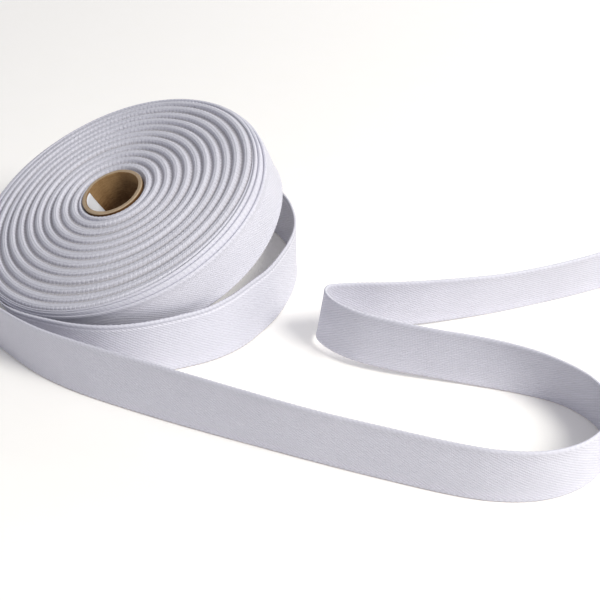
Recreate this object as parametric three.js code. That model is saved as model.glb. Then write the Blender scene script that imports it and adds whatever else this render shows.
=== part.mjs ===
import * as THREE from 'three';

// Roll of woven webbing on a card tube. The roll leans, its last turn has slipped down around it and the
// free end stands on edge in long bends. Millimetres, +Z up, resting on z = 0, front towards -Y.

// Driving sizes of the webbing
const webWidth = 25;
const webThickness = 1.8;
const clearGap = 0.3;

// Driving sizes of the card tube and its paper label
const tubeInnerRadius = 12.7;
const tubeOuterRadius = 14.7;
const tubeSegments = 40;
const labelThickness = 0.4;
const labelHeight = 19;
const labelBelowRim = 0.6;
const labelFrom = -57;
const labelTo = 62;
const labelSegments = 18;

// Driving sizes of the wound roll
const rollRadius = 70.5;
const rollTaper = 2;
const roundedTurns = 11;
const tightTurns = 3;
const tightPitch = 1.47;
const grooveDepth = 1.5;
const coreRise = 6.2;
const coreShift = { x: 0.75, y: -0.8 };
const rollSegments = 52;

// How the roll lies: the centre of its upper rim, its tilt, and the heading it leans towards
const rollCentre = new THREE.Vector3(-79.8, 34.64, 49.2);
const rollTilt = THREE.MathUtils.degToRad(24);
const rollHeading = THREE.MathUtils.degToRad(-140.6);

// Route of the loose webbing on the floor, from the roll outwards. x and y place its lower edge, lift is
// the height of that edge, and lean is the angle its upper edge tips to the left of the way it runs.
const routeShift = { x: 2.66, y: 29.92 };
const spanSteps = 6;
const route = [
  // leaves the low side of the roll and stands up as it passes the front
  { x: -124.75, y: -30.4, lift: 0, lean: -28.6 },
  { x: -120.6, y: -38.8, lift: 0, lean: -26 },
  { x: -114.5, y: -47.4, lift: 0, lean: -20 },
  { x: -106, y: -55.4, lift: 0, lean: -13 },
  { x: -95.4, y: -62.3, lift: 0, lean: -7 },
  { x: -82.1, y: -66.5, lift: 0, lean: -1.5 },
  { x: -67.3, y: -66, lift: 0, lean: 3 },
  { x: -52.9, y: -61.6, lift: 0, lean: 6.5 },
  { x: -38.05, y: -54.3, lift: 0, lean: 9.4 },
  { x: -26.2, y: -43.6, lift: 0, lean: 13.2 },
  // right side
  { x: -17.8, y: -30.2, lift: 0, lean: 12.5 },
  { x: -11.1, y: -16.6, lift: 0, lean: 9 },
  { x: -6.4, y: -1.9, lift: 0, lean: 6.5 },
  { x: -3.2, y: 13.5, lift: 0, lean: 3.5 },
  { x: -2.1, y: 29.2, lift: 0, lean: 1 },
  { x: -3.7, y: 46, lift: 0, lean: -0.5 },
  { x: -8.2, y: 62.3, lift: 0, lean: -2 },
  // behind the roll
  { x: -16.9, y: 78.2, lift: 0, lean: -3 },
  { x: -33, y: 92.2, lift: 0, lean: -2 },
  { x: -56, y: 99.4, lift: 0, lean: 0 },
  { x: -82, y: 99.75, lift: 0, lean: 0 },
  { x: -107, y: 93.5, lift: 0, lean: 0 },
  { x: -129, y: 79, lift: 0, lean: 0 },
  // left side
  { x: -145, y: 58, lift: 0, lean: -1 },
  { x: -154, y: 34, lift: 0, lean: -2 },
  { x: -155.5, y: 9, lift: 0, lean: -4 },
  { x: -150.5, y: -14, lift: 0, lean: -7 },
  { x: -141, y: -32, lift: 0, lean: -9 },
  { x: -127.8, y: -49.3, lift: 0, lean: -7 },
  { x: -112.5, y: -66, lift: 0, lean: -3 },
  // long front run
  { x: -94.6, y: -80, lift: 0, lean: 2 },
  { x: -71.7, y: -93.3, lift: 0, lean: 3.5 },
  { x: -46, y: -106.6, lift: 0, lean: 2.5 },
  { x: -20, y: -119, lift: 0, lean: -0.5 },
  { x: 8, y: -132, lift: 0, lean: -3 },
  { x: 34, y: -143.4, lift: 0, lean: -3 },
  { x: 58.2, y: -153, lift: 0, lean: -3.5 },
  { x: 75, y: -157, lift: 0, lean: -5.5 },
  // right bend
  { x: 91, y: -156.4, lift: 0, lean: -7.5 },
  { x: 104.8, y: -150.4, lift: 0, lean: -7.5 },
  { x: 115.2, y: -140.2, lift: 0, lean: -4 },
  { x: 121.8, y: -127.5, lift: 0, lean: 2 },
  { x: 122.9, y: -114.5, lift: 0, lean: 8 },
  { x: 118.8, y: -101.5, lift: 0, lean: 11.5 },
  { x: 108.5, y: -89.5, lift: 0, lean: 12 },
  // middle run, its lower edge leaving the floor
  { x: 93, y: -81.5, lift: 0, lean: 7 },
  { x: 75, y: -75.7, lift: 0.5, lean: 3.5 },
  { x: 56, y: -70.6, lift: 1.4, lean: 3.5 },
  { x: 38.5, y: -65.8, lift: 2.3, lean: 1.5 },
  { x: 23.5, y: -59.4, lift: 3, lean: 0 },
  // left bend
  { x: 13, y: -50.5, lift: 3.3, lean: -3 },
  { x: 7.8, y: -41, lift: 3.3, lean: -8 },
  { x: 10.5, y: -32.5, lift: 3, lean: -10 },
  { x: 22, y: -28.8, lift: 2.6, lean: -11 },
  // last run, down to the floor again and to the cut end
  { x: 38, y: -27.4, lift: 2, lean: -10.5 },
  { x: 54, y: -24.4, lift: 1.4, lean: -11.5 },
  { x: 72, y: -18.4, lift: 0.7, lean: -15 },
  { x: 90, y: -11.6, lift: 0, lean: -17.5 },
  { x: 108, y: -4.2, lift: 0, lean: -18.5 },
  { x: 127, y: 4.2, lift: 0, lean: -17.5 },
  { x: 149.5, y: 15.6, lift: 0, lean: -15 },
];

const rollFrame = new THREE.Matrix4().makeBasis(
  new THREE.Vector3(
    Math.cos(rollHeading) * Math.cos(rollTilt),
    Math.sin(rollHeading) * Math.cos(rollTilt),
    -Math.sin(rollTilt),
  ),
  new THREE.Vector3(-Math.sin(rollHeading), Math.cos(rollHeading), 0),
  new THREE.Vector3(
    Math.cos(rollHeading) * Math.sin(rollTilt),
    Math.sin(rollHeading) * Math.sin(rollTilt),
    Math.cos(rollTilt),
  ),
).setPosition(rollCentre);

function namedMesh(name, corners, faces, look) {
  const geometry = new THREE.BufferGeometry();
  geometry.setAttribute('position', new THREE.Float32BufferAttribute(corners, 3));
  geometry.setIndex(faces);
  geometry.computeVertexNormals();
  const mesh = new THREE.Mesh(geometry, new THREE.MeshStandardMaterial(look));
  mesh.name = name;
  return mesh;
}

// The card tube stands a little off the middle of the roll, and the turns even this out towards the rim
function rollPlace(radius, angle, height) {
  const share = 1 - THREE.MathUtils.clamp((radius - tubeOuterRadius) / (rollRadius - tubeOuterRadius), 0, 1);
  return new THREE.Vector3(
    radius * Math.cos(angle) + share * coreShift.x,
    radius * Math.sin(angle) + share * coreShift.y,
    height,
  ).applyMatrix4(rollFrame);
}

// A closed outline in radius and height for each angle, carried all the way round the roll's axis
function turnedRing(name, outlineAt, segments, look) {
  const corners = [];
  const faces = [];
  const count = outlineAt(0).length;
  for (let step = 0; step < segments; step += 1) {
    const angle = (2 * Math.PI * step) / segments;
    const outline = outlineAt(angle);
    const next = (step + 1) % segments;
    for (let i = 0; i < count; i += 1) {
      const corner = rollPlace(outline[i].radius, angle, outline[i].height);
      corners.push(corner.x, corner.y, Math.max(corner.z, 0));
      const after = (i + 1) % count;
      const a = step * count + i;
      const b = step * count + after;
      const c = next * count + after;
      const d = next * count + i;
      faces.push(a, c, b, a, d, c);
    }
  }
  return namedMesh(name, corners, faces, look);
}

// A cosine around the roll that is highest at the given direction in degrees
const around = (angle, direction) => Math.cos(angle - THREE.MathUtils.degToRad(direction));

// A rounded swelling of the given width around a direction in degrees
function swelling(angle, direction, width) {
  const away = ((THREE.MathUtils.radToDeg(angle) - direction + 540) % 360) - 180;
  return Math.exp(-((away / width) ** 2));
}

// Heights of the outer turns over the roll's rim plane: the last rounded turn, then the three tight turns,
// each slipped down a little against the one inside it, most of all on the right side
const lastRoundedHeight = (angle) => 2.9 + 2.2 * around(angle, 138);
const tightHeights = [
  (angle) => 2.2 + 1.8 * around(angle, 135),
  (angle) => 1.2 + 0.9 * around(angle, 130),
  (angle) => -0.6 + 0.7 * around(angle, 300),
];

// The outermost turn's lower edge stands out on the right side and is pressed in at the front
const rimFlare = (angle) => 3.2 * swelling(angle, 160, 26) - 1.1 * swelling(angle, 78, 24);

// Outline of the wound turns at one angle: rounded edges with grooves between them over a low dome, then
// the tight outer turns in steps
function woundOutline(angle) {
  const boreRadius = tubeOuterRadius + clearGap;
  const roundedRadius = rollRadius - tightTurns * tightPitch;
  const pitch = (roundedRadius - boreRadius) / roundedTurns;
  const edgeHeight = lastRoundedHeight(angle);
  const rise = (radius) => {
    const share = Math.min(1, (radius - boreRadius) / (roundedRadius - boreRadius));
    return edgeHeight + (coreRise - edgeHeight) * (1 - share * share);
  };
  const narrowed = (radius) => radius - (rollTaper * (radius - boreRadius)) / (rollRadius - boreRadius);
  const upper = [];
  const lower = [];
  for (let turn = 0; turn < roundedTurns; turn += 1) {
    const start = boreRadius + turn * pitch;
    upper.push({ radius: start, height: rise(start) - grooveDepth });
    upper.push({ radius: start + 0.5 * pitch, height: rise(start + 0.5 * pitch) });
    lower.push({ radius: narrowed(start), height: rise(start) + grooveDepth - webWidth });
    lower.push({ radius: narrowed(start + 0.5 * pitch), height: rise(start + 0.5 * pitch) - webWidth });
  }
  upper.push({ radius: roundedRadius, height: tightHeights[0](angle) - 0.4 });
  tightHeights.forEach((height, turn) => {
    const start = roundedRadius + turn * tightPitch;
    upper.push({ radius: start + 0.15, height: height(angle) });
    upper.push({ radius: start + tightPitch, height: height(angle) });
  });
  lower.push({ radius: narrowed(roundedRadius), height: grooveDepth - webWidth });
  lower.push({ radius: narrowed(roundedRadius + 0.3), height: -webWidth });
  lower.push({ radius: narrowed(rollRadius - tightPitch) + rimFlare(angle), height: -webWidth });
  lower.push({ radius: narrowed(rollRadius) + rimFlare(angle), height: -webWidth });
  return [...lower, ...upper.reverse()];
}

function tubeOutline() {
  return [
    { radius: tubeInnerRadius, height: coreRise - webWidth },
    { radius: tubeOuterRadius, height: coreRise - webWidth },
    { radius: tubeOuterRadius, height: coreRise },
    { radius: tubeInnerRadius, height: coreRise },
  ];
}

// A thin closed band given by its four corners at each step, capped at both ends
function closedBand(name, steps, look) {
  const corners = [];
  const faces = [];
  steps.forEach((section) => section.forEach((corner) => corners.push(corner.x, corner.y, corner.z)));
  for (let step = 0; step + 1 < steps.length; step += 1) {
    for (let side = 0; side < 4; side += 1) {
      const a = step * 4 + side;
      const b = step * 4 + ((side + 1) % 4);
      faces.push(a, b, b + 4, a, b + 4, a + 4);
    }
  }
  const last = (steps.length - 1) * 4;
  faces.push(0, 2, 1, 0, 3, 2, last, last + 1, last + 2, last, last + 2, last + 3);
  return namedMesh(name, corners, faces, look);
}

function labelSteps() {
  const outer = tubeInnerRadius - clearGap;
  const inner = outer - labelThickness;
  const top = coreRise - labelBelowRim;
  const steps = [];
  for (let step = 0; step <= labelSegments; step += 1) {
    const angle = THREE.MathUtils.degToRad(labelFrom + ((labelTo - labelFrom) * step) / labelSegments);
    const at = (radius, height) => rollPlace(radius, angle, height);
    steps.push([at(outer, top), at(outer, top - labelHeight), at(inner, top - labelHeight), at(inner, top)]);
  }
  return steps;
}

// Smooth values along the route, column by column
function smoothRoute() {
  const columns = ['x', 'y', 'lift', 'lean'];
  const slope = (i, column) => {
    const before = Math.max(i - 1, 0);
    const after = Math.min(i + 1, route.length - 1);
    return (route[after][column] - route[before][column]) / (after - before);
  };
  const points = [];
  for (let i = 0; i + 1 < route.length; i += 1) {
    for (let k = 0; k < spanSteps; k += 1) {
      const u = k / spanSteps;
      const point = {};
      columns.forEach((column) => {
        point[column] =
          (2 * u ** 3 - 3 * u ** 2 + 1) * route[i][column] +
          (u ** 3 - 2 * u ** 2 + u) * slope(i, column) +
          (3 * u ** 2 - 2 * u ** 3) * route[i + 1][column] +
          (u ** 3 - u ** 2) * slope(i + 1, column);
      });
      points.push(point);
    }
  }
  points.push({ ...route[route.length - 1] });
  return points;
}

function webSteps() {
  const points = smoothRoute();
  return points.map((point, i) => {
    const before = points[Math.max(i - 1, 0)];
    const after = points[Math.min(i + 1, points.length - 1)];
    const left = new THREE.Vector3(before.y - after.y, after.x - before.x, 0).normalize();
    const lean = THREE.MathUtils.degToRad(point.lean);
    const half = left.clone().multiplyScalar(webThickness / 2 / Math.cos(lean));
    const low = new THREE.Vector3(point.x + routeShift.x, point.y + routeShift.y, Math.max(point.lift, 0));
    const high = low.clone().addScaledVector(left, webWidth * Math.sin(lean));
    high.z += webWidth * Math.cos(lean);
    return [high.clone().sub(half), low.clone().sub(half), low.clone().add(half), high.clone().add(half)];
  });
}

const webLook = { color: 0xe4e4ea, roughness: 0.55, metalness: 0 };
const group = new THREE.Group();
group.name = 'webbing_roll';
group.add(turnedRing('wound_roll', woundOutline, rollSegments, { ...webLook }));
group.add(turnedRing('core_tube', tubeOutline, tubeSegments, { color: 0xa88452, roughness: 0.85, metalness: 0 }));
group.add(closedBand('core_label', labelSteps(), { color: 0xf2f2f2, roughness: 0.7, metalness: 0 }));
group.add(closedBand('loose_end', webSteps(), { ...webLook }));

export default group;
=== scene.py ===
import math

import bpy
import numpy as np
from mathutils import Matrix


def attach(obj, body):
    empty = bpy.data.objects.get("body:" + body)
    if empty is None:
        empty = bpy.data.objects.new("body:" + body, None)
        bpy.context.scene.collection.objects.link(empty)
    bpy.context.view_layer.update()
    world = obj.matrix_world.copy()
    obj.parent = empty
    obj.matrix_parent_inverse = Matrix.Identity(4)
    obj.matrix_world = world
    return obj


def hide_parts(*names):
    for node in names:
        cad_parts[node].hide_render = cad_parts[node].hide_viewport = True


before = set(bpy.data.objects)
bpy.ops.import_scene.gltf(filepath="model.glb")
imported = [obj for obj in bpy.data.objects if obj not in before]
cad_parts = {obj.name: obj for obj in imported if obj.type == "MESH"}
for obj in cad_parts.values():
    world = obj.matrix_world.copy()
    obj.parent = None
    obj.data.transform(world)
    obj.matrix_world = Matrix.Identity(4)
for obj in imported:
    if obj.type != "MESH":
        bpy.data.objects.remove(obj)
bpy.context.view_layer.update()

MM = 0.001
TURN = 2 * math.pi

# Sizes of the webbing, in millimetres, as in the part's source
WEB_WIDTH = 25.0
WEB_THICKNESS = 1.35
LOOP_PITCH = 2.2
LOOP_STEP = LOOP_PITCH / 4

# Sizes of the card tube and its paper label
TUBE_INNER = 12.7
TUBE_OUTER = 14.7
LABEL_BELOW_RIM = 0.45
LABEL_HEIGHT = 19.0

# Sizes of the wound roll
BORE = 15.0
ROLL_RADIUS = 70.5
ROLL_TAPER = 2.0
ROUNDED_TURNS = 11
TIGHT_TURNS = 3
TIGHT_PITCH = 1.47
ROUNDED_RADIUS = ROLL_RADIUS - TIGHT_TURNS * TIGHT_PITCH
ROUNDED_PITCH = (ROUNDED_RADIUS - BORE) / ROUNDED_TURNS
CORE_RISE = 6.2
CORE_SHIFT = (0.75, -0.8)
GROOVE_DEPTH = 1.7
RUN_OUT_RADIUS = 67.62
RUN_OUT_SWAY = 1.55
ROLL_CENTRE = np.array([-79.8, 34.64, 49.2])
ROLL_TILT = math.radians(24)
ROLL_HEADING = math.radians(-140.6)
SEAM = math.radians(162)

# Route of the loose webbing: x, y and height of its lower edge, and the lean of its upper edge to the
# left of the way it runs, in degrees. It starts at the low side of the roll.
ROUTE_SHIFT = (2.66, 29.92)
ROUTE = np.array([
    (-124.75, -30.4, 0, -28.6), (-120.6, -38.8, 0, -26), (-114.5, -47.4, 0, -20), (-106, -55.4, 0, -13),
    (-95.4, -62.3, 0, -7), (-82.1, -66.5, 0, -1.5), (-67.3, -66, 0, 3), (-52.9, -61.6, 0, 6.5),
    (-38.05, -54.3, 0, 9.4), (-26.2, -43.6, 0, 13.2), (-17.8, -30.2, 0, 12.5), (-11.1, -16.6, 0, 9),
    (-6.4, -1.9, 0, 6.5), (-3.2, 13.5, 0, 3.5), (-2.1, 29.2, 0, 1), (-3.7, 46, 0, -0.5),
    (-8.2, 62.3, 0, -2), (-16.9, 78.2, 0, -3), (-33, 92.2, 0, -2), (-56, 99.4, 0, 0),
    (-82, 99.75, 0, 0), (-107, 93.5, 0, 0), (-129, 79, 0, 0), (-145, 58, 0, -1), (-154, 34, 0, -2),
    (-155.5, 9, 0, -4), (-150.5, -14, 0, -7), (-141, -32, 0, -9), (-127.8, -49.3, 0, -7),
    (-112.5, -66, 0, -3), (-94.6, -80, 0, 2), (-71.7, -93.3, 0, 3.5), (-46, -106.6, 0, 2.5),
    (-20, -119, 0, -0.5), (8, -132, 0, -3), (34, -143.4, 0, -3), (58.2, -153, 0, -3.5),
    (75, -157, 0, -5.5), (91, -156.4, 0, -7.5), (104.8, -150.4, 0, -7.5), (115.2, -140.2, 0, -4),
    (121.8, -127.5, 0, 2), (122.9, -114.5, 0, 8), (118.8, -101.5, 0, 11.5), (108.5, -89.5, 0, 12),
    (93, -81.5, 0, 7), (75, -75.7, 0.5, 3.5), (56, -70.6, 1.4, 3.5), (38.5, -65.8, 2.3, 1.5),
    (23.5, -59.4, 3, 0), (13, -50.5, 3.3, -3), (7.8, -41, 3.3, -8), (10.5, -32.5, 3, -10),
    (22, -28.8, 2.6, -11), (38, -27.4, 2, -10.5), (54, -24.4, 1.4, -11.5), (72, -18.4, 0.7, -15),
    (90, -11.6, 0, -17.5), (108, -4.2, 0, -18.5), (127, 4.2, 0, -17.5), (149.5, 15.6, 0, -15),
])

scene = bpy.context.scene


# Camera at the photo's angle, aimed at a point on the floor
AIM = (ROUTE_SHIFT[0] * MM, ROUTE_SHIFT[1] * MM, 0.0)
CAMERA_DISTANCE = 0.705
CAMERA_ELEVATION = math.radians(29)

camera_data = bpy.data.cameras.new("camera")
camera_data.lens = 90
camera_data.sensor_width = 36
camera_data.clip_start = 0.02
camera_data.clip_end = 50
camera = bpy.data.objects.new("camera", camera_data)
camera.location = (
    AIM[0],
    AIM[1] - CAMERA_DISTANCE * math.cos(CAMERA_ELEVATION),
    AIM[2] + CAMERA_DISTANCE * math.sin(CAMERA_ELEVATION),
)
camera.rotation_euler = (math.pi / 2 - CAMERA_ELEVATION, 0, 0)
scene.collection.objects.link(camera)
scene.camera = camera
scene.view_settings.view_transform = "Standard"


# Lights: a soft warm key from the front right, weaker ones low on the right, from behind, from the front
# and from above, and an even, slightly blue sky
def area_light(name, azimuth, elevation, distance, size, power, colour):
    data = bpy.data.lights.new(name, "AREA")
    data.shape = "DISK"
    data.size = size
    data.energy = power
    data.color = colour
    light = bpy.data.objects.new(name, data)
    a = math.radians(azimuth)
    e = math.radians(elevation)
    target = np.array([-0.02, 0.0, 0.02])
    away = np.array([math.cos(a) * math.cos(e), math.sin(a) * math.cos(e), math.sin(e)])
    light.location = target + distance * away
    pointing = light.location.copy()
    pointing.x -= target[0]
    pointing.y -= target[1]
    pointing.z -= target[2]
    light.rotation_euler = pointing.to_track_quat("Z", "Y").to_euler()
    scene.collection.objects.link(light)


area_light("key", -40, 42, 1.5, 0.6, 18.3, (1.0, 0.985, 0.92))
area_light("side", -15, 18, 1.5, 0.6, 2.4, (1.0, 0.985, 0.92))
area_light("back", 70, 18, 1.5, 0.6, 5.8, (1.0, 0.99, 0.97))
area_light("front", -90, 42, 1.5, 0.6, 1.4, (0.93, 0.945, 1.0))
area_light("above", 0, 65, 1.5, 0.6, 1.4, (0.94, 0.955, 1.0))

world = bpy.data.worlds.new("sky")
scene.world = world
world.use_nodes = True
sky = world.node_tree.nodes["Background"]
sky.inputs["Color"].default_value = (0.925, 0.94, 1.0, 1)
sky.inputs["Strength"].default_value = 0.37


# Materials
class Nodes:
    """Builds one material's node tree."""

    def __init__(self, name):
        self.material = bpy.data.materials.new(name)
        self.material.use_nodes = True
        self.tree = self.material.node_tree
        self.shader = self.tree.nodes["Principled BSDF"]

    def put(self, kind, sockets=None, **settings):
        made = self.tree.nodes.new(kind)
        for key, value in settings.items():
            setattr(made, key, value)
        for key, value in (sockets or {}).items():
            if isinstance(value, bpy.types.NodeSocket):
                self.tree.links.new(value, made.inputs[key])
            else:
                made.inputs[key].default_value = value
        return made

    def math(self, operation, a, b=0.0, c=0.0):
        return self.put("ShaderNodeMath", {0: a, 1: b, 2: c}, operation=operation).outputs[0]

    def ramp(self, value, low, high, to_low=0.0, to_high=1.0):
        made = self.put(
            "ShaderNodeMapRange",
            {"Value": value, "From Min": low, "From Max": high, "To Min": to_low, "To Max": to_high},
            interpolation_type="SMOOTHSTEP",
        )
        return made.outputs["Result"]

    def wave(self, position, pitch, offset=0.0):
        """A sine of the position, from -1 to 1, with this pitch."""
        return self.math("SINE", self.math("MULTIPLY_ADD", position, TURN / pitch, offset))

    def blend(self, factor, first, second):
        made = self.put("ShaderNodeMix", data_type="RGBA")
        for slot, value in ((0, factor), (6, first), (7, second)):
            if isinstance(value, bpy.types.NodeSocket):
                self.tree.links.new(value, made.inputs[slot])
            elif slot == 0:
                made.inputs[slot].default_value = value
            else:
                made.inputs[slot].default_value = (*value, 1)
        return made.outputs[2]

    def along(self):
        """Millimetres along and across the webbing, board or paper."""
        made = self.put("ShaderNodeUVMap", uv_map="along")
        parts = self.put("ShaderNodeSeparateXYZ", {0: made.outputs["UV"]})
        return parts.outputs[0], parts.outputs[1]

    def noise(self, scale, detail=3.0, roughness=0.55, vector=None):
        if vector is None:
            vector = self.put("ShaderNodeTexCoord").outputs["Object"]
        sockets = {"Vector": vector, "Scale": scale, "Detail": detail, "Roughness": roughness}
        return self.put("ShaderNodeTexNoise", sockets).outputs["Fac"]

    def threads(self, u, v, along, across):
        """Noise stretched over the webbing's own millimetres."""
        sockets = {0: self.math("DIVIDE", u, along), 1: self.math("DIVIDE", v, across)}
        place = self.put("ShaderNodeCombineXYZ", sockets)
        return self.noise(1.0, 2.0, 0.5, place.outputs[0])

    def finish(self, colour, roughness, height, bump_mm, strength=1.0, **plain):
        links = self.tree.links
        links.new(colour, self.shader.inputs["Base Color"])
        links.new(roughness, self.shader.inputs["Roughness"])
        bump = self.put("ShaderNodeBump", {"Height": height, "Strength": strength, "Distance": bump_mm * MM})
        links.new(bump.outputs["Normal"], self.shader.inputs["Normal"])
        for name, value in plain.items():
            self.shader.inputs[name.replace("_", " ")].default_value = value
        return self.material


WEB_LIGHT = (0.73, 0.725, 0.805)
WEB_SHADE = (0.48, 0.478, 0.55)
# Painted shade: colour of the grooves between the wound turns
WEB_PAINTED_GROOVE_SHADE = (0.41, 0.385, 0.40)
# Painted contact shadow: brown colour along the lower edge of the flat faces
WEB_PAINTED_CONTACT_SHADOW = (0.40, 0.35, 0.33)


def web_face_material(name, painted_edge_lines):
    """The flat faces: fine twill with a ribbed selvedge along both edges, and painted contact shadow along
    the lower edge.
    On the loose turn near the roll, a dotted painted highlight line with a painted shade line above it runs
    below the upper edge."""
    n = Nodes(name)
    u, v = n.along()
    fibres = n.threads(u, v, 3.0, 0.35)
    strokes = n.threads(n.math("MULTIPLY_ADD", v, -1.6, u), n.math("MULTIPLY_ADD", u, 0.55, v), 2.6, 0.45)
    diagonal = n.wave(n.math("MULTIPLY_ADD", fibres, 0.5, n.math("MULTIPLY_ADD", u, 0.55, v)), 1.25)
    weft = n.wave(u, 0.70)
    twill = n.math("MULTIPLY_ADD", diagonal, 0.7, n.math("MULTIPLY", weft, 0.2))
    from_middle = n.math("ABSOLUTE", n.math("SUBTRACT", v, WEB_WIDTH / 2))
    selvedge = n.ramp(from_middle, 10.9, 11.5)
    rib = n.math("ABSOLUTE", n.wave(n.math("MULTIPLY_ADD", from_middle, 0.55, u), 2 * LOOP_PITCH))
    ribbed = n.math("MULTIPLY_ADD", rib, 1.2, -0.85)
    surface = n.put("ShaderNodeMix", {0: selvedge, 2: twill, 3: ribbed}, data_type="FLOAT").outputs[0]
    patches = n.noise(38.0, 2.0)
    line = n.math("MULTIPLY", n.ramp(from_middle, 10.55, 10.85), n.ramp(from_middle, 11.3, 10.95))
    tone = n.math("MULTIPLY_ADD", surface, 0.16, 0.50)
    tone = n.math("MULTIPLY_ADD", n.math("SUBTRACT", strokes, 0.5), 0.45, tone)
    tone = n.math("MULTIPLY_ADD", n.math("SUBTRACT", fibres, 0.5), 0.25, tone)
    tone = n.math("MULTIPLY_ADD", n.math("SUBTRACT", patches, 0.5), 0.30, tone)
    tone = n.math("MULTIPLY_ADD", line, n.math("MULTIPLY_ADD", rib, 0.2, -0.22), tone)
    # Painted highlight and painted shade: a dotted light line and a dark line just under the upper edge,
    # near the roll
    if painted_edge_lines:
        near_roll = n.ramp(u, 345.0, 315.0)
        painted_highlight_line = n.ramp(n.math("ABSOLUTE", n.math("SUBTRACT", v, 22.4)), 0.6, 0.25)
        painted_shade_line = n.ramp(n.math("ABSOLUTE", n.math("SUBTRACT", v, 23.5)), 0.6, 0.2)
        dots = n.math("MULTIPLY", painted_highlight_line, n.math("MULTIPLY_ADD", rib, 0.55, 0.15))
        added = n.math("MULTIPLY_ADD", painted_shade_line, -0.35, dots)
        tone = n.math("MULTIPLY_ADD", near_roll, added, tone)
    clean = n.blend(tone, WEB_SHADE, WEB_LIGHT)
    # Painted contact shadow: the lower edge turns brown, broken by the selvedge ribs
    painted_contact_shadow = n.math("MULTIPLY", n.ramp(v, 0.75, 0.15), n.math("MULTIPLY_ADD", rib, -0.55, 0.85))
    colour = n.blend(painted_contact_shadow, clean, WEB_PAINTED_CONTACT_SHADOW)
    roughness = n.math("MULTIPLY_ADD", fibres, 0.15, 0.42)
    height = n.math("MULTIPLY_ADD", strokes, 0.9, surface)
    plain = {"Sheen_Weight": 0.12, "Sheen_Roughness": 0.4, "Specular_IOR_Level": 0.42}
    return n.finish(colour, roughness, height, 0.075, **plain)


def web_edge_material():
    """The turned-up edges of the wound turns: slanting threads and a few rope-like lines on each, painted
    highlight along the top of each edge, and painted shade between the selvedge loops and in the grooves.
    """
    n = Nodes("web_edge")
    u, v = n.along()
    slanted = n.math("MULTIPLY_ADD", v, 0.8, u)
    slant = n.wave(slanted, LOOP_PITCH / 2)
    turned = n.wave(n.math("MULTIPLY_ADD", v, 0.241, u), 2 * LOOP_PITCH)
    # Painted shade in the valleys between the selvedge loops, on the sides of each edge
    valley = n.ramp(n.math("ABSOLUTE", turned), 0.75, 0.15)
    painted_loop_shade = n.math("MULTIPLY", valley, n.ramp(n.math("ABSOLUTE", v), 0.7, 1.4))
    strokes = n.threads(slanted, v, 1.1, 0.42)
    ropes = n.wave(n.math("MULTIPLY_ADD", strokes, 0.9, v), 1.05)
    grain = n.threads(u, v, 0.7, 0.5)
    surface = n.math("MULTIPLY_ADD", slant, 0.22, n.math("MULTIPLY", ropes, 0.45))
    patches = n.noise(45.0, 2.0)
    # Painted highlight: the middle of each rounded edge is made lighter
    painted_crest_highlight = n.ramp(n.math("ABSOLUTE", v), 2.2, 1.2)
    tone = n.math("MULTIPLY_ADD", surface, 0.24, 0.40)
    tone = n.math("MULTIPLY_ADD", n.math("SUBTRACT", strokes, 0.5), 0.9, tone)
    tone = n.math("MULTIPLY_ADD", n.math("SUBTRACT", grain, 0.5), 0.6, tone)
    tone = n.math("MULTIPLY_ADD", n.math("SUBTRACT", patches, 0.5), 0.25, tone)
    tone = n.math("MULTIPLY_ADD", painted_crest_highlight, 0.25, tone)
    tone = n.math("MULTIPLY_ADD", painted_loop_shade, n.math("MULTIPLY_ADD", strokes, -0.7, 0.12), tone)
    # Painted shade: the grooves take a darker, warmer colour
    shade = n.blend(n.ramp(n.math("ABSOLUTE", v), 1.0, 2.0), WEB_SHADE, WEB_PAINTED_GROOVE_SHADE)
    colour = n.blend(tone, shade, WEB_LIGHT)
    roughness = n.math("MULTIPLY_ADD", strokes, 0.15, 0.5)
    height = n.math("MULTIPLY_ADD", strokes, 1.6, surface)
    plain = {"Sheen_Weight": 0.1, "Sheen_Roughness": 0.5, "Specular_IOR_Level": 0.35}
    return n.finish(colour, roughness, height, 0.16, **plain)


def card_material(name, rim):
    """Brown board: fibres, a winding seam and painted shade down the bore on the walls, layers on the rim.
    """
    n = Nodes(name)
    u, v = n.along()
    fibres = n.threads(u, v, 5.0, 0.5)
    flecks = n.noise(900.0, 3.0, 0.7)
    blotches = n.noise(110.0, 2.0)
    tone = n.math("MULTIPLY_ADD", n.math("SUBTRACT", fibres, 0.5), 0.5, 0.5)
    tone = n.math("MULTIPLY_ADD", n.math("SUBTRACT", flecks, 0.5), 0.5, tone)
    tone = n.math("MULTIPLY_ADD", n.math("SUBTRACT", blotches, 0.5), 0.6, tone)
    if rim:
        layers = n.wave(v, 0.5)
        tone = n.math("MULTIPLY_ADD", layers, 0.22, tone)
        height = n.math("ADD", layers, fibres)
        colour = n.blend(tone, (0.31, 0.215, 0.13), (0.60, 0.47, 0.33))
    else:
        # The spiral-wound strip is about 30 mm wide and climbs at 25 degrees
        climb = n.math("FRACT", n.math("DIVIDE", n.math("MULTIPLY_ADD", u, -0.47, v), 28.0))
        seam = n.ramp(n.math("ABSOLUTE", n.math("SUBTRACT", climb, 0.5)), 0.012, 0.004)
        tone = n.math("MULTIPLY_ADD", seam, -0.08, tone)
        height = n.math("MULTIPLY_ADD", seam, -0.5, fibres)
        # Painted shade: the wall darkens down the bore, where the place across is low
        painted_bore_shade = n.ramp(v, 24.0, 8.0)
        tone = n.math("MULTIPLY_ADD", painted_bore_shade, -0.45, tone)
        colour = n.blend(tone, (0.10, 0.042, 0.010), (0.40, 0.255, 0.12))
    roughness = n.math("MULTIPLY_ADD", fibres, 0.15, 0.72)
    return n.finish(colour, roughness, height, 0.06, Specular_IOR_Level=0.3)


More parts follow.
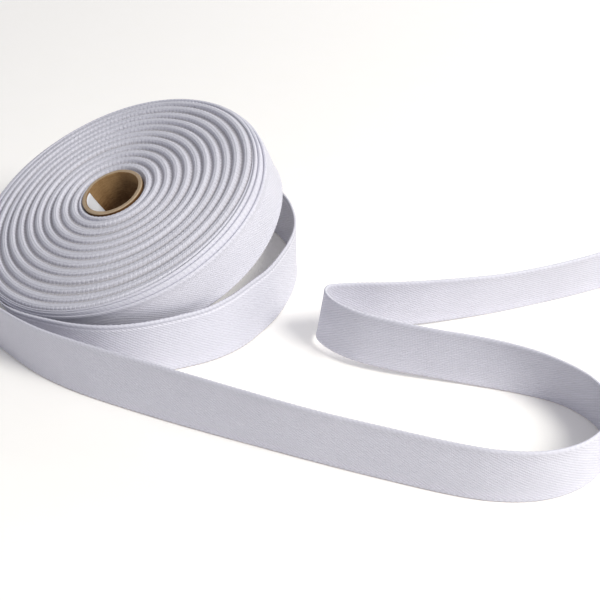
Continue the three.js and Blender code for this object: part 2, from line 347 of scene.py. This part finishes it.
def paper_material():
    n = Nodes("label_paper")
    u, v = n.along()
    fibres = n.threads(u, v, 0.8, 0.8)
    patches = n.noise(160.0, 2.0)
    tone = n.math("MULTIPLY_ADD", n.math("SUBTRACT", fibres, 0.5), 0.4, 0.6)
    tone = n.math("MULTIPLY_ADD", n.math("SUBTRACT", patches, 0.5), 0.3, tone)
    colour = n.blend(tone, (0.62, 0.63, 0.66), (0.78, 0.79, 0.84))
    roughness = n.math("MULTIPLY_ADD", fibres, 0.1, 0.55)
    return n.finish(colour, roughness, fibres, 0.02, Specular_IOR_Level=0.4)


def floor_material():
    n = Nodes("floor")
    grain = n.noise(60.0, 2.0)
    colour = n.blend(grain, (0.96, 0.945, 0.93), (0.98, 0.965, 0.95))
    roughness = n.math("MULTIPLY_ADD", grain, 0.05, 0.8)
    made = n.finish(colour, roughness, grain, 0.01, Specular_IOR_Level=0.1)
    n.shader.inputs["Emission Color"].default_value = (1, 0.92, 0.83, 1)
    n.shader.inputs["Emission Strength"].default_value = 0.05
    return made


web_face = web_face_material("web_face", False)
web_face_loose = web_face_material("web_face_loose", True)
web_edge = web_edge_material()
card_wall = card_material("card_wall", False)
card_rim = card_material("card_rim", True)
label_paper = paper_material()


# Mesh building: grids of points, each with its own millimetres along and across
class Shell:
    def __init__(self):
        self.points = []
        self.places = []
        self.faces = []
        self.materials = []
        self.count = 0

    def grid(self, points, places, material, closed_rows=False, closed_columns=False, flip=False):
        """Adds a grid of quads. points is rows x columns x 3 in millimetres, places rows x columns x 2."""
        rows, columns = points.shape[:2]
        start = self.count
        self.points.append(points.reshape(-1, 3))
        self.count += rows * columns
        index = start + np.arange(rows * columns).reshape(rows, columns)
        row_pairs = [(i, (i + 1) % rows) for i in range(rows if closed_rows else rows - 1)]
        i0 = np.array([a for a, b in row_pairs])
        i1 = np.array([b for a, b in row_pairs])
        last = columns if closed_columns else columns - 1
        j0 = np.arange(last)
        j1 = (j0 + 1) % columns
        a = index[np.ix_(i0, j0)].ravel()
        b = index[np.ix_(i1, j0)].ravel()
        c = index[np.ix_(i1, j1)].ravel()
        d = index[np.ix_(i0, j1)].ravel()
        quads = np.stack([a, b, c, d] if not flip else [a, d, c, b], 1)
        # The place along a closed grid runs on past its start
        unwrapped = np.asarray(places, float)
        far_row = unwrapped[-1] + (unwrapped[-1] - unwrapped[-2])
        rows_of = np.concatenate([unwrapped, far_row[None]], 0)
        far_column = rows_of[:, -1] + (rows_of[:, -1] - rows_of[:, -2])
        both = np.concatenate([rows_of, far_column[:, None]], 1)
        r0 = i0
        r1 = i0 + 1
        c1 = j0 + 1
        pa = both[np.ix_(r0, j0)].reshape(-1, 2)
        pb = both[np.ix_(r1, j0)].reshape(-1, 2)
        pc = both[np.ix_(r1, c1)].reshape(-1, 2)
        pd = both[np.ix_(r0, c1)].reshape(-1, 2)
        corner_places = np.stack([pa, pb, pc, pd] if not flip else [pa, pd, pc, pb], 1)
        self.faces.append(quads)
        self.places.append(corner_places.reshape(-1, 2))
        self.materials.append(np.full(len(quads), material))

    def build(self, name, materials, weld=0.0):
        points = np.concatenate(self.points)
        points[:, 2] = np.maximum(points[:, 2], 0)
        faces = np.concatenate(self.faces)
        mesh = bpy.data.meshes.new(name)
        mesh.vertices.add(len(points))
        mesh.vertices.foreach_set("co", (points * MM).astype(np.float32).ravel())
        mesh.loops.add(faces.size)
        mesh.loops.foreach_set("vertex_index", faces.astype(np.int32).ravel())
        mesh.polygons.add(len(faces))
        mesh.polygons.foreach_set("loop_start", np.arange(0, faces.size, 4, dtype=np.int32))
        mesh.polygons.foreach_set("loop_total", np.full(len(faces), 4, dtype=np.int32))
        for material in materials:
            mesh.materials.append(material)
        mesh.polygons.foreach_set("material_index", np.concatenate(self.materials).astype(np.int32))
        mesh.update(calc_edges=True)
        layer = mesh.uv_layers.new(name="along")
        layer.data.foreach_set("uv", np.concatenate(self.places).astype(np.float32).ravel())
        mesh.polygons.foreach_set("use_smooth", np.ones(len(faces), dtype=bool))
        mesh.validate()
        made = bpy.data.objects.new(name, mesh)
        scene.collection.objects.link(made)
        if weld:
            join = made.modifiers.new("weld", "WELD")
            join.merge_threshold = weld * MM
        return made


ROLL_X = np.array([
    math.cos(ROLL_HEADING) * math.cos(ROLL_TILT),
    math.sin(ROLL_HEADING) * math.cos(ROLL_TILT),
    -math.sin(ROLL_TILT),
])
ROLL_Y = np.array([-math.sin(ROLL_HEADING), math.cos(ROLL_HEADING), 0.0])
ROLL_Z = np.cross(ROLL_X, ROLL_Y)


def on_roll(radius, angle, height):
    """Millimetres in the part's frame from a place in the roll's own turned frame. The tube stands a
    little off the middle, and the turns even this out towards the rim."""
    radius, angle, height = np.broadcast_arrays(radius, angle, height)
    share = 1 - np.clip((radius - TUBE_OUTER) / (ROLL_RADIUS - TUBE_OUTER), 0, 1)
    return (
        ROLL_CENTRE
        + (radius * np.cos(angle) + share * CORE_SHIFT[0])[..., None] * ROLL_X
        + (radius * np.sin(angle) + share * CORE_SHIFT[1])[..., None] * ROLL_Y
        + height[..., None] * ROLL_Z
    )


def around(angle, direction):
    """A cosine around the roll that is highest at this direction in degrees."""
    return np.cos(angle - math.radians(direction))


def swelling(angle, direction, width):
    """A rounded swelling of this width around a direction in degrees."""
    away = (np.degrees(angle) - direction + 180) % 360 - 180
    return np.exp(-((away / width) ** 2))


def edge_height(angle):
    """Height of the last rounded turn over the roll's rim plane."""
    return 2.9 + 2.2 * around(angle, 138)


def tight_heights(angle):
    """Heights of the three tight turns, each slipped down a little against the one inside it."""
    return (
        2.2 + 1.8 * around(angle, 135),
        1.2 + 0.9 * around(angle, 130),
        -0.6 + 0.7 * around(angle, 300),
    )


def rim_flare(angle):
    """The outermost turn's lower edge stands out on the right side and is pressed in at the front."""
    return 3.2 * swelling(angle, 160, 26) - 1.1 * swelling(angle, 78, 24)


def rise(radius, angle):
    """The rounded turns form a low dome that is highest at the core."""
    share = np.clip((radius - BORE) / (ROUNDED_RADIUS - BORE), 0, 1)
    return edge_height(angle) + (CORE_RISE - edge_height(angle)) * (1 - share * share)


def narrowed(radius):
    return radius - ROLL_TAPER * (radius - BORE) / (ROLL_RADIUS - BORE)


def loop_wave(phase):
    """Rounded bumps from 0 to 1 with sharp valleys, one for each half turn of the phase."""
    return np.abs(np.sin(phase))


def turn_edge(turns):
    """Radius of the winding's boundary after this many turns, as uneven as winding by hand leaves it."""
    pitch = ROUNDED_PITCH
    # The last rounded turn runs out between the tight turns, which lie closer together on the left side
    limit = RUN_OUT_RADIUS - RUN_OUT_SWAY * around(SEAM + TURN * turns, 170)
    plain = np.minimum(BORE + pitch * np.maximum(turns, 0), limit)
    fade = np.clip(turns / 1.5, 0, 1) * np.clip((ROUNDED_TURNS - turns) / 1.5, 0, 1)
    uneven = 0.16 * np.sin(TURN * 0.83 * turns + 1.1) + 0.12 * np.sin(TURN * 2.31 * turns + 0.4)
    return plain + fade * uneven


def spiral_steps(step):
    """Turn counts along the rounded winding, about this many millimetres apart."""
    fine = np.linspace(0, ROUNDED_TURNS + 1, 20001)
    middle = 0.5 * (turn_edge(fine - 1) + turn_edge(fine))
    length = np.concatenate([[0], np.cumsum(np.diff(fine) * TURN * 0.5 * (middle[1:] + middle[:-1]))])
    count = int(length[-1] / step)
    at = np.linspace(0, length[-1], count + 1)
    return np.interp(at, length, fine), at


# Points across one rounded edge: share of the pitch, share of the height, and side for the loops
EDGE_PROFILE = np.array([
    (0.00, 0.00, 0.0), (0.155, 0.03, 0.0), (0.195, 0.42, -1.0), (0.26, 0.78, -1.0), (0.37, 0.96, -0.5),
    (0.50, 1.00, 0.0), (0.63, 0.96, 0.5), (0.74, 0.78, 1.0), (0.805, 0.42, 1.0), (0.845, 0.03, 0.0),
    (1.00, 0.00, 0.0),
])


def rounded_face(shell, upper):
    """The spiral of rounded edges on the upper or lower side of the roll."""
    profile = EDGE_PROFILE if upper else EDGE_PROFILE[[0, 1, 3, 5, 7, 9, 10]]
    turns, along = spiral_steps(LOOP_STEP if upper else 3 * LOOP_STEP)
    inner = turn_edge(turns - 1)[:, None]
    outer = turn_edge(turns)[:, None]
    width = outer - inner
    share, up, side = profile[:, 0][None], profile[:, 1][None], profile[:, 2][None]
    size = np.clip(width / ROUNDED_PITCH, 0, 1)
    phase = math.pi * along[:, None] / LOOP_PITCH + 1.6 * (share - 0.5)
    loops = loop_wave(phase) * (0.78 + 0.22 * np.sin(along[:, None] / 5.3 + 3 * np.sin(along[:, None] / 31)))
    loops = loops if upper else 0.5
    wobble = 0.22 * np.sin(TURN * 0.61 * turns + 0.7) + 0.14 * np.sin(TURN * 1.73 * turns + 2.0)
    wobble = wobble[:, None] * size
    radius = inner + share * width + side * size * 0.34 * (loops - 0.3)
    depth = GROOVE_DEPTH * np.sqrt(size)
    lift = up * (depth + wobble) - GROOVE_DEPTH + up * 0.18 * size * (loops - 1)
    angle = SEAM + TURN * turns[:, None]
    # The grooves are shallower at the front, where the turns lie closer together
    shallow = 0.45 * swelling(angle, 70, 45) * np.clip(turns[:, None] - 0.9, 0, 1)
    if upper:
        lift = lift + (1 - up) * GROOVE_DEPTH * shallow
    if upper:
        points = on_roll(radius, angle, rise(radius, angle) + lift)
    else:
        points = on_roll(narrowed(radius), angle, rise(radius, angle) - WEB_WIDTH - lift)
    across = (share - 0.5) * width + 0 * angle
    places = np.stack([along[:, None] + 0 * across, across], 2)
    shell.grid(points, places, 1, flip=not upper)


# Angles around the outer turns, four for each loop of the selvedge
RIM_LOOPS = int(round(TURN * ROLL_RADIUS / LOOP_PITCH))
RIM_ANGLES = (TURN * np.arange(4 * RIM_LOOPS) / (4 * RIM_LOOPS))[:, None]


def ring(shell, profile, material, flip=False):
    """A ring with the loops of the selvedge. profile: radius, height, loop in radius, loop in height,
    across. Radius and height may change around the ring."""
    loops = loop_wave(0.5 * RIM_LOOPS * RIM_ANGLES)
    plain = 0 * RIM_ANGLES
    radius = np.concatenate([plain + row[0] + row[2] * loops for row in profile], 1)
    height = np.concatenate([plain + row[1] + row[3] * loops for row in profile], 1)
    across = np.concatenate([plain + row[4] for row in profile], 1)
    points = on_roll(radius, RIM_ANGLES + 0 * radius, height)
    places = np.stack([RIM_ANGLES * ROLL_RADIUS + 0 * across, across], 2)
    shell.grid(points, places, material, closed_rows=True, flip=flip)


def build_roll():
    shell = Shell()
    rounded_face(shell, True)
    rounded_face(shell, False)
    low = -WEB_WIDTH
    top_1, top_2, top_3 = tight_heights(RIM_ANGLES)
    edge = edge_height(RIM_ANGLES)
    # The two inner tight turns: a narrow edge, then the strip of outer face above the next turn's edge
    r0 = turn_edge(ROUNDED_TURNS + ((RIM_ANGLES - SEAM) / TURN) % 1)
    pitch = (ROLL_RADIUS - r0) / TIGHT_TURNS
    r1 = r0 + pitch
    r2 = r1 + pitch
    ring(shell, [
        (r0, edge - GROOVE_DEPTH - 0.4, 0, 0, 27.0), (r0 + 0.07 * pitch, top_1 - 0.40, 0.02, 0, 26.4),
        (r0 + 0.24 * pitch, top_1 - 0.08, 0, 0.06, 26.0), (r1 - 0.27 * pitch, top_1 - 0.08, 0, 0.08, 25.3),
        (r1 - 0.05 * pitch, top_1 - 0.38, 0.10, 0.04, 24.8), (r1, top_2 - 0.05, 0.0, 0, 23.6),
        (r1, top_2 - 0.6, 0, 0, 23.0),
    ], 0)
    ring(shell, [
        (r1, top_2 - 0.6, 0, 0, 27.0), (r1 + 0.07 * pitch, top_2 - 0.40, 0.02, 0, 26.4),
        (r1 + 0.24 * pitch, top_2 - 0.08, 0, 0.06, 26.0), (r2 - 0.27 * pitch, top_2 - 0.08, 0, 0.08, 25.3),
        (r2 - 0.05 * pitch, top_2 - 0.38, 0.10, 0.04, 24.8), (r2, top_3 - 0.05, 0.0, 0, 23.6),
        (r2, top_3 - 0.6, 0, 0, 23.0),
    ], 0)
    # The outermost turn, from the line beside it over its rim and down the band to the lower rim
    top = ROLL_RADIUS
    flare = rim_flare(RIM_ANGLES)
    foot = narrowed(ROLL_RADIUS) + flare
    ring(shell, [
        (r2, top_3 - 0.6, 0, 0, 27.0), (r2 + 0.07 * pitch, top_3 - 0.40, 0.02, 0, 26.4),
        (r2 + 0.24 * pitch, top_3 - 0.08, 0, 0.06, 26.0), (top - 0.27 * pitch, top_3 - 0.08, 0, 0.08, 25.3),
        (top - 0.08, top_3 - 0.38, 0.08, 0.04, 24.8), (top, top_3 - 0.95, 0.05, 0, 24.2),
        (top - 0.04, top_3 - 1.75, 0.03, 0, 23.2), (top - 0.20, top_3 - 2.1, 0, 0, 22.8),
        (top - 0.20 + 0.22 * flare, -5.5, 0, 0, 19.5), (top - 0.80 + 0.5 * flare, -12.5, 0, 0, 12.5),
        (foot + 0.20 - 0.22 * flare, -19.5, 0, 0, 5.5), (foot - 0.10 - 0.08 * flare, -22.8, 0, 0, 2.2),
        (foot + 0.02 - 0.07 * flare, -23.1, 0.03, 0, 1.8), (foot, -24.0, 0.06, 0, 1.0),
        (foot - 0.06, low + 0.45, 0.12, -0.06, 0.4), (foot - 0.30, low + 0.12, 0.05, -0.10, 0.0),
        (foot - TIGHT_PITCH + 0.3, low + 0.04, 0, -0.05, -1.0), (foot - TIGHT_PITCH, low + 0.5, 0, 0, -1.6),
    ], 0)
    # The lower side of the two inner tight turns
    n0 = narrowed(r0)
    last = foot - TIGHT_PITCH
    middle = 0.5 * (n0 + last)
    for far, near, inner_height in ((last, middle, low + 0.5), (middle, n0, low + GROOVE_DEPTH)):
        ring(shell, [
            (far, low + 0.5, 0, 0, 1.6), (far - 0.2, low + 0.06, 0, -0.04, 1.2),
            (near + 0.3, low + 0.06, 0, -0.04, -1.0), (near, inner_height, 0, 0, -2.0),
        ], 1)
    # The bore that the card tube fills
    ring(shell, [
        (BORE, rise(BORE, RIM_ANGLES) - WEB_WIDTH + GROOVE_DEPTH, 0, 0, 2.0),
        (BORE, rise(BORE, RIM_ANGLES) - GROOVE_DEPTH, 0, 0, 23.0),
    ], 0)
    return shell.build("web_roll", [web_face, web_edge])


def hermite_route(steps):
    """Smooth values along the route, as in the part's source."""
    found = []
    last = len(ROUTE) - 1
    slopes = []
    for i in range(last + 1):
        before = max(i - 1, 0)
        after = min(i + 1, last)
        slopes.append((ROUTE[after] - ROUTE[before]) / (after - before))
    for i in range(last):
        for k in range(steps):
            t = k / steps
            found.append(
                (2 * t**3 - 3 * t**2 + 1) * ROUTE[i]
                + (t**3 - 2 * t**2 + t) * slopes[i]
                + (3 * t**2 - 2 * t**3) * ROUTE[i + 1]
                + (t**3 - t**2) * slopes[i + 1]
            )
    found.append(ROUTE[last])
    return np.array(found)


# Points around the webbing's section: place across the thickness as a share of half of it, height from
# the lower edge, how far the loops push it out and up, and the place across for the weave
SECTION = np.array([
    (0.0, 0.10, 0, 0.28, -0.3), (0.5, 0.0, 0, 0.30, 0.0), (0.86, 0.25, 0.05, 0.20, 0.3),
    (1.0, 0.75, 0.06, 0, 0.8), (0.98, 1.7, 0.04, 0, 1.7), (0.84, 2.05, 0, 0, 2.05),
    (0.86, 6.0, 0, 0, 6.0), (0.88, 12.5, 0, 0, 12.5), (0.86, 19.0, 0, 0, 19.0),
    (0.84, 22.95, 0, 0, 22.95), (0.93, 23.3, 0.04, 0, 23.3), (0.94, 24.2, 0.06, 0, 24.2),
    (0.74, 24.75, 0.05, -0.16, 24.7), (0.38, 25.0, 0, -0.26, 25.0), (0.0, 25.0, 0, -0.26, 25.3),
])


def build_loose():
    route = hermite_route(24)
    route[:, 0] += ROUTE_SHIFT[0]
    route[:, 1] += ROUTE_SHIFT[1]
    length = np.concatenate([[0], np.cumsum(np.hypot(*np.diff(route[:, :2], axis=0).T))])
    count = int(length[-1] / LOOP_STEP)
    at = np.linspace(0, length[-1], count + 1)
    x, y, lift, lean = (np.interp(at, length, route[:, i]) for i in range(4))
    lean = np.radians(lean)
    way = np.stack([np.gradient(x), np.gradient(y)], 1)
    way /= np.linalg.norm(way, axis=1)[:, None]
    left = np.stack([-way[:, 1], way[:, 0], 0 * x], 1)
    low = np.stack([x, y, np.maximum(lift, 0)], 1)
    upward = left * np.sin(lean)[:, None] + np.array([0, 0, 1.0]) * np.cos(lean)[:, None]
    outward = left * np.cos(lean)[:, None] - np.array([0, 0, 1.0]) * np.sin(lean)[:, None]
    right_side = SECTION
    left_side = SECTION[1:-1][::-1] * np.array([-1, 1, -1, 1, 1])
    section = np.concatenate([right_side, left_side])
    loops = loop_wave(math.pi * at / LOOP_PITCH)[:, None]
    sway = 0.10 * np.sin(at / 23.0 + 1.0) + 0.06 * np.sin(at / 9.1)
    thick = section[:, 0][None] * WEB_THICKNESS / 2 + section[:, 2][None] * loops
    height = section[:, 1][None] + section[:, 3][None] * (1 - loops) + 0 * thick
    height = height + sway[:, None] * (section[:, 1][None] > 20) * 0.5
    # The start is thinned against the roll, where the webbing runs on without a break
    thinned = (0.12 + 0.88 * np.clip(at / 16.0, 0, 1) ** 1.5)[:, None]
    thick = (thick + WEB_THICKNESS / 2) * thinned - WEB_THICKNESS / 2
    points = low[:, None] + height[..., None] * upward[:, None] - thick[..., None] * outward[:, None]
    across = section[:, 4][None] + 0 * thick
    places = np.stack([at[:, None] + 0 * across, across], 2)
    shell = Shell()
    shell.grid(points, places, 0, closed_columns=True, flip=True)
    # Flat cut ends
    for row, turned in ((0, False), (-1, True)):
        half = len(SECTION)
        one = points[row, :half]
        other = np.concatenate([points[row, :1], points[row, half:][::-1], points[row, half - 1:half]])
        cap = np.stack([one, other], 0)
        cap_places = np.stack([np.stack([np.full(half, at[row]), SECTION[:, 4]], 1)] * 2, 0)
        cap_places[1, :, 0] += 1.0
        shell.grid(cap, cap_places, 1, flip=turned)
    return shell.build("web_loose", [web_face_loose, web_edge], weld=0.001)


def build_core():
    shell = Shell()
    low = CORE_RISE - WEB_WIDTH
    high = CORE_RISE
    count = 160
    angle = (TURN * np.arange(count) / count)[:, None]
    dent = 0.05 * np.sin(3 * angle + 1) + 0.04 * np.sin(7 * angle) + 0.03 * np.sin(13 * angle + 2)

    def turned(profile, material):
        profile = np.array(profile)
        radius = profile[:, 0][None] + 0.4 * dent * (profile[:, 3][None] > 0)
        height = profile[:, 1][None] + dent * profile[:, 3][None]
        across = profile[:, 2][None] + 0 * angle
        places = np.stack([angle * TUBE_INNER + 0 * across, across], 2)
        shell.grid(on_roll(radius, angle, height), places, material, closed_rows=True)

    turned([
        (TUBE_INNER + 0.35, low, -0.4, 0), (TUBE_INNER + 0.1, low + 0.1, 0, 0),
        (TUBE_INNER, low + 0.4, 0.4, 0),
        (TUBE_INNER, low + 8, 8, 0), (TUBE_INNER, high - 8, 17, 0), (TUBE_INNER, high - 0.45, 24.5, 0.3),
        (TUBE_INNER + 0.1, high - 0.12, 24.8, 1), (TUBE_INNER + 0.32, high, 25.0, 1),
    ], 0)
    turned([
        (TUBE_INNER + 0.32, high, 0, 1), (TUBE_INNER + 0.7, high - 0.04, 0.4, 1),
        (TUBE_INNER + 1.0, high + 0.02, 0.7, 1), (TUBE_INNER + 1.35, high - 0.03, 1.0, 1),
        (TUBE_OUTER - 0.3, high, 1.4, 1), (TUBE_OUTER - 0.05, high - 0.12, 1.7, 1),
        (TUBE_OUTER, high - 0.45, 2.0, 0.3),
    ], 1)
    turned([(TUBE_OUTER, high - 0.45, 0, 0.3), (TUBE_OUTER, low + 0.4, 24, 0)], 0)
    turned([
        (TUBE_OUTER, low + 0.4, 0, 0), (TUBE_OUTER - 0.3, low, 0.4, 0),
        (TUBE_INNER + 1.0, low + 0.04, 1.0, 0), (TUBE_INNER + 0.35, low, 1.7, 0),
    ], 1)
    return shell.build("card_core", [card_wall, card_rim], weld=0.001)


def build_label():
    """A bare paper label on the wall of the bore, its sides slanting a little and one corner lifting."""
    shell = Shell()
    tall = np.linspace(0, 1, 13)[:, None]
    wide = np.linspace(0, 1, 40)[None]
    start = np.radians(-60 - 19 * tall)
    end = np.radians(62 + 0 * tall)
    angle = start + (end - start) * wide
    height = CORE_RISE - LABEL_BELOW_RIM - LABEL_HEIGHT * tall + 0 * wide
    lift = 0.35 * np.clip(1 - wide / 0.16, 0, 1) ** 2 * np.clip(1 - tall / 0.5, 0, 1) ** 2
    ripple = 0.03 * np.sin(9 * wide + 4 * tall)
    outer = TUBE_INNER - 0.06 - lift - 0.5 * np.abs(ripple)
    inner = outer - 0.12
    front = on_roll(inner, angle, height)
    back = on_roll(outer, angle, height)
    places = np.stack([angle * TUBE_INNER, LABEL_HEIGHT * (1 - tall) + 0 * wide], 2)
    shell.grid(front, places, 0)
    shell.grid(back, places, 0, flip=True)
    # The four thin edges of the paper
    for side, turned in ((np.s_[0], True), (np.s_[-1], False), (np.s_[:, 0], False), (np.s_[:, -1], True)):
        edge = np.stack([front[side], back[side]])
        edge_places = np.stack([places[side], places[side] + 0.1])
        shell.grid(edge, edge_places, 0, flip=turned)
    return shell.build("paper_label", [label_paper], weld=0.001)


web_roll = build_roll()
web_loose = build_loose()
card_core = build_core()
paper_label = build_label()

for piece, node, slot in (
    (web_roll, "wound_roll", "web"),
    (web_loose, "loose_end", "web"),
    (card_core, "core_tube", "core"),
    (paper_label, "core_label", "label"),
):
    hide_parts(node)
    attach(piece, "root")

# Plain pale floor, in metres, a hair below the webbing
FLOOR = 6.0
FLOOR_DROP = 0.00005
floor_mesh = bpy.data.meshes.new("floor")
floor_corners = ((-FLOOR, -FLOOR), (FLOOR, -FLOOR), (FLOOR, FLOOR), (-FLOOR, FLOOR))
floor_mesh.from_pydata([(x, y, -FLOOR_DROP) for x, y in floor_corners], [], [(0, 1, 2, 3)])
floor = bpy.data.objects.new("floor", floor_mesh)
floor_mesh.materials.append(floor_material())
scene.collection.objects.link(floor)
